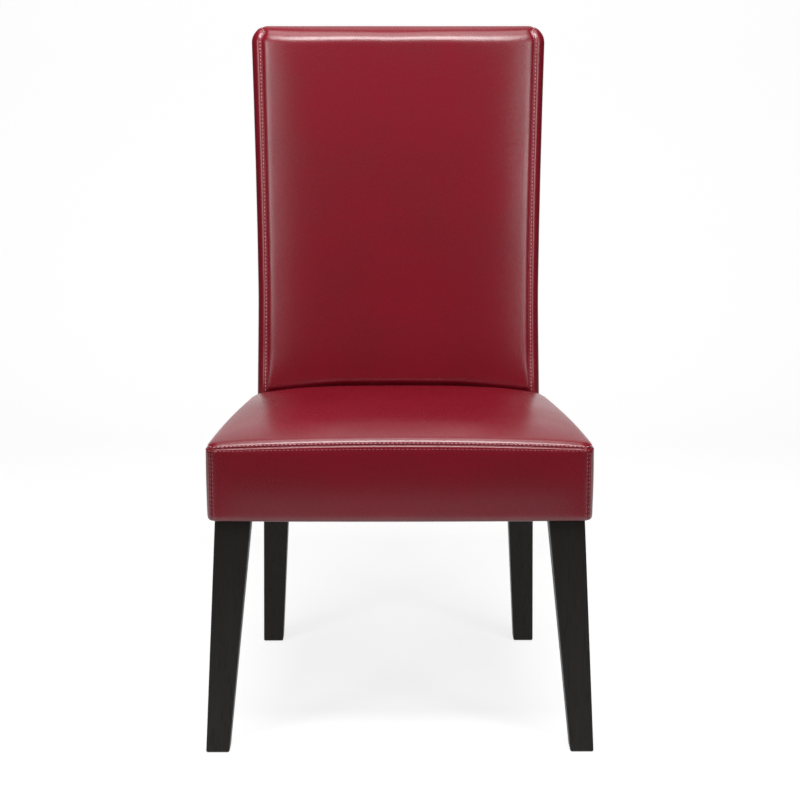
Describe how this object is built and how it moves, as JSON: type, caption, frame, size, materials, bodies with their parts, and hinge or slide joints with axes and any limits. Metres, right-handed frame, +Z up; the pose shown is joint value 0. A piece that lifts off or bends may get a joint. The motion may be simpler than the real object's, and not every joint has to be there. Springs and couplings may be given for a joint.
{
  "type": "upholstered dining chair",
  "caption": "Armless dining chair with a leather covered seat and high leaning back over a doweled wooden frame, on tapered dark wooden legs.",
  "frame": {"origin": "on the floor, under the middle of the chair's box", "axes": "+Z up, -Y is the way the sitter faces, +X to the viewer's right when the chair is seen from its front"},
  "size_m": [0.5286, 0.5652, 0.9726],
  "materials": {
    "leather": "satin",
    "dark_wood": "satin",
    "frame_wood": "matte",
    "hardboard": "matte",
    "foam": "matte",
    "wadding": "matte",
    "webbing": "matte",
    "dust_cloth": "matte",
    "glide_nylon": "matte",
    "screw_steel": "satin"
  },
  "bodies": {
    "root": {"back_board": "hardboard", "back_front_foam": "foam", "back_front_panel": "leather", "back_rear_padding": "wadding", "back_rear_panel": "leather", "back_side_padding_left": "wadding", "back_side_padding_right": "wadding", "back_side_panel_left": "leather", "back_side_panel_right": "leather", "back_top_padding": "wadding", "back_webbing": "webbing", "corner_block_front_left": "frame_wood", "corner_block_front_right": "frame_wood", "corner_block_rear_left": "frame_wood", "corner_block_rear_right": "frame_wood", "corner_block_screws": "screw_steel", "crest_rail": "frame_wood", "dust_cover": "dust_cloth", "frame_dowels": "frame_wood", "front_glide_left": "glide_nylon", "front_glide_right": "glide_nylon", "front_leg_left": "dark_wood", "front_leg_right": "dark_wood", "front_rail": "frame_wood", "low_back_rail": "frame_wood", "rear_glide_left": "glide_nylon", "rear_glide_right": "glide_nylon", "rear_leg_left": "dark_wood", "rear_leg_right": "dark_wood", "rear_rail": "frame_wood", "seat_foam": "foam", "seat_front_band": "leather", "seat_front_padding": "wadding", "seat_side_band_left": "leather", "seat_side_band_right": "leather", "seat_side_padding_left": "wadding", "seat_side_padding_right": "wadding", "seat_top_panel": "leather", "seat_webbing": "webbing", "side_rail_left": "frame_wood", "side_rail_right": "frame_wood"}
  },
  "joints": []
}
